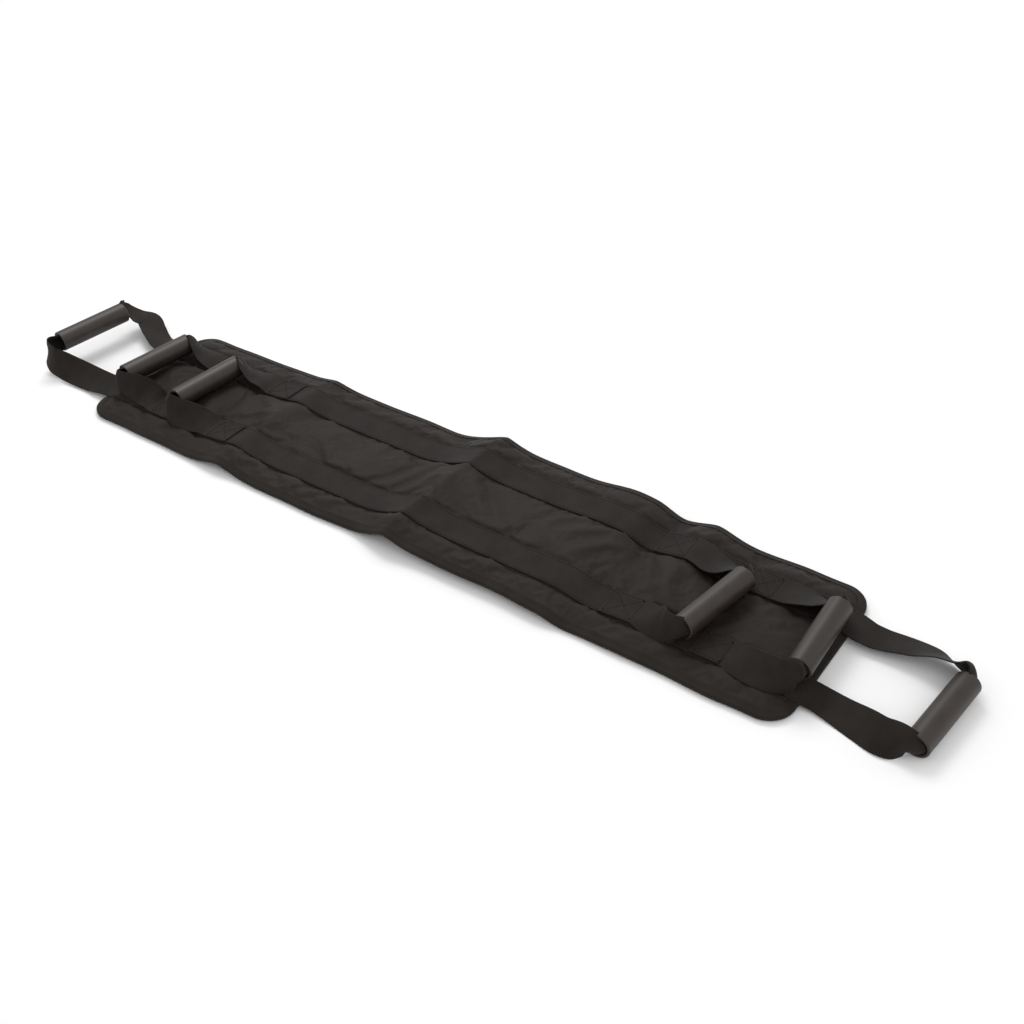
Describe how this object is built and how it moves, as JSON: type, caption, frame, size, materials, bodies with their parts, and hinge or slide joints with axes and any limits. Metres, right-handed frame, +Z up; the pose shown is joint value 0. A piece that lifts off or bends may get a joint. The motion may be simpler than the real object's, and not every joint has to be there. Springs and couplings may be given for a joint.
{
  "type": "padded transfer belt",
  "caption": "Long padded transfer belt with two full-length webbing straps and swinging webbing loops at both ends, each with a spinning tube grip.",
  "frame": {"origin": "middle of the belt's underside, below the centre of its bounding box", "axes": "+X along the belt, +Y across it towards the far strap, +Z up from the padded underside"},
  "size_m": [1.3053, 0.225, 0.054],
  "materials": {
    "cover_fabric": "matt woven nylon",
    "foam": "open-cell foam",
    "binding_tape": "matt ribbed tape",
    "webbing": "matt ribbed nylon webbing",
    "thread": "matt thread",
    "grip_plastic": "satin moulded plastic"
  },
  "bodies": {
    "left_end": {"left_end_bottom_cover": "cover_fabric", "left_end_foam": "foam", "left_end_top_cover": "cover_fabric", "left_end_edge_binding": "binding_tape", "left_end_near_strap": "webbing", "left_end_far_strap": "webbing", "left_end_strap_stitching": "thread", "left_end_inner_handle_tabs": "webbing", "left_end_middle_handle_tabs": "webbing", "left_end_tab_stitching": "thread"},
    "left_centre": {"left_centre_bottom_cover": "cover_fabric", "left_centre_foam": "foam", "left_centre_top_cover": "cover_fabric", "left_centre_edge_binding": "binding_tape", "left_centre_near_strap": "webbing", "left_centre_far_strap": "webbing", "left_centre_strap_stitching": "thread"},
    "right_centre": {"right_centre_bottom_cover": "cover_fabric", "right_centre_foam": "foam", "right_centre_top_cover": "cover_fabric", "right_centre_edge_binding": "binding_tape", "right_centre_near_strap": "webbing", "right_centre_far_strap": "webbing", "right_centre_strap_stitching": "thread"},
    "right_end": {"right_end_bottom_cover": "cover_fabric", "right_end_foam": "foam", "right_end_top_cover": "cover_fabric", "right_end_edge_binding": "binding_tape", "right_end_near_strap": "webbing", "right_end_far_strap": "webbing", "right_end_strap_stitching": "thread", "right_end_inner_handle_tabs": "webbing", "right_end_middle_handle_tabs": "webbing", "right_end_tab_stitching": "thread"},
    "left_inner_loop": {"left_inner_loop": "webbing"},
    "left_inner_grip": {"left_inner_grip": "grip_plastic"},
    "left_middle_loop": {"left_middle_loop": "webbing"},
    "left_middle_grip": {"left_middle_grip": "grip_plastic"},
    "left_outer_loop": {"left_outer_loop": "webbing"},
    "left_outer_grip": {"left_outer_grip": "grip_plastic"},
    "right_inner_loop": {"right_inner_loop": "webbing"},
    "right_inner_grip": {"right_inner_grip": "grip_plastic"},
    "right_middle_loop": {"right_middle_loop": "webbing"},
    "right_middle_grip": {"right_middle_grip": "grip_plastic"},
    "right_outer_loop": {"right_outer_loop": "webbing"},
    "right_outer_grip": {"right_outer_grip": "grip_plastic"}
  },
  "joints": [
    {"name": "left_quarter_fold", "type": "hinge", "parent": "left_centre", "child": "left_end", "pos_m": [-0.268, 0, 0], "axis": [0, 1, 0], "range_deg": [-120, 30]},
    {"name": "middle_fold", "type": "hinge", "parent": "left_centre", "child": "right_centre", "pos_m": [0.015, 0, 0], "axis": [0, 1, 0], "range_deg": [-30, 170]},
    {"name": "right_quarter_fold", "type": "hinge", "parent": "right_centre", "child": "right_end", "pos_m": [0.268, 0, 0], "axis": [0, -1, 0], "range_deg": [-120, 30]},
    {"name": "left_inner_handle_swing", "type": "hinge", "parent": "left_end", "child": "left_inner_loop", "pos_m": [-0.324, 0, 0.0152], "axis": [0, 1, 0], "range_deg": [0, 100]},
    {"name": "left_middle_handle_swing", "type": "hinge", "parent": "left_end", "child": "left_middle_loop", "pos_m": [-0.43, 0, 0.0152], "axis": [0, 1, 0], "range_deg": [0, 80]},
    {"name": "left_outer_handle_swing", "type": "hinge", "parent": "left_end", "child": "left_outer_loop", "pos_m": [-0.5215, 0, 0.0129], "axis": [0, 1, 0], "range_deg": [-60, 80]},
    {"name": "right_inner_handle_swing", "type": "hinge", "parent": "right_end", "child": "right_inner_loop", "pos_m": [0.324, 0, 0.0152], "axis": [0, -1, 0], "range_deg": [0, 100]},
    {"name": "right_middle_handle_swing", "type": "hinge", "parent": "right_end", "child": "right_middle_loop", "pos_m": [0.43, 0, 0.0152], "axis": [0, -1, 0], "range_deg": [0, 80]},
    {"name": "right_outer_handle_swing", "type": "hinge", "parent": "right_end", "child": "right_outer_loop", "pos_m": [0.5215, 0, 0.0129], "axis": [0, -1, 0], "range_deg": [-60, 80]},
    {"name": "left_inner_grip_spin", "type": "hinge", "parent": "left_inner_loop", "child": "left_inner_grip", "pos_m": [-0.39, 0, 0.03], "axis": [0.1045, 0.9945, 0], "continuous": true},
    {"name": "left_middle_grip_spin", "type": "hinge", "parent": "left_middle_loop", "child": "left_middle_grip", "pos_m": [-0.494, 0.004, 0.03], "axis": [0.1392, 0.9903, 0], "continuous": true},
    {"name": "left_outer_grip_spin", "type": "hinge", "parent": "left_outer_loop", "child": "left_outer_grip", "pos_m": [-0.628, 0.004, 0.04], "axis": [0.1392, 0.9903, 0], "continuous": true},
    {"name": "right_inner_grip_spin", "type": "hinge", "parent": "right_inner_loop", "child": "right_inner_grip", "pos_m": [0.386, -0.014, 0.03], "axis": [0.1736, 0.9848, 0], "continuous": true},
    {"name": "right_middle_grip_spin", "type": "hinge", "parent": "right_middle_loop", "child": "right_middle_grip", "pos_m": [0.5, -0.002, 0.03], "axis": [-0.0349, 0.9994, 0], "continuous": true},
    {"name": "right_outer_grip_spin", "type": "hinge", "parent": "right_outer_loop", "child": "right_outer_grip", "pos_m": [0.637, -0.018, 0.0142], "axis": [0.1045, 0.9945, 0], "continuous": true}
  ]
}
